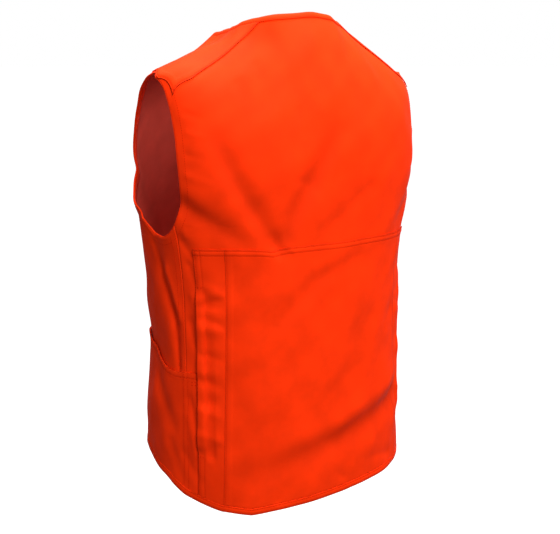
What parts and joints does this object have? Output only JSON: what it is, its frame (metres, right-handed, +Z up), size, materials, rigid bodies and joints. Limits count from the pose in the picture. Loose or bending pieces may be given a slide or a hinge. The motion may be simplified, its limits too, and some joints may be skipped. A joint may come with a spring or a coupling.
{
  "type": "hunting vest",
  "caption": "Sleeveless orange hunting vest, filled out with no wearer: V neck, zipped front, shoulder yokes, front patch pockets and a wide game bag on the lower back.",
  "frame": {"origin": "middle of the vest at the level of the shoulder points beside the neck, where the wearer's shoulders carry it", "axes": "+Z up, +Y towards the back, -Y the zipped front, +X the wearer's left"},
  "size_m": [0.4322, 0.2991, 0.7002],
  "materials": {
    "vest_cloth": "matt blaze-orange woven cloth, soft sheen",
    "binding_cloth": "matt blaze-orange woven tape",
    "zip_tape": "matt black woven tape",
    "zip_teeth": "satin black moulded",
    "zip_metal": "satin black"
  },
  "bodies": {
    "vest": {"back_body": "vest_cloth", "front_left": "vest_cloth", "front_right": "vest_cloth", "game_bag": "vest_cloth", "bag_strip_left": "vest_cloth", "bag_strip_right": "vest_cloth", "pocket_left": "vest_cloth", "pocket_right": "vest_cloth", "yoke_left": "vest_cloth", "yoke_right": "vest_cloth", "hem_band": "vest_cloth", "neck_band": "binding_cloth", "armhole_facing_left": "binding_cloth", "armhole_facing_right": "binding_cloth", "zip_tape": "zip_tape", "zip_chain": "zip_teeth", "zip_slider": "zip_metal"},
    "pull_tab": {"zip_pull": "zip_metal"}
  },
  "joints": [
    {"name": "pull_swing", "type": "hinge", "parent": "vest", "child": "pull_tab", "pos_m": [0, -0.151, -0.1835], "axis": [-1, 0, 0], "range_deg": [0, 150]}
  ]
}
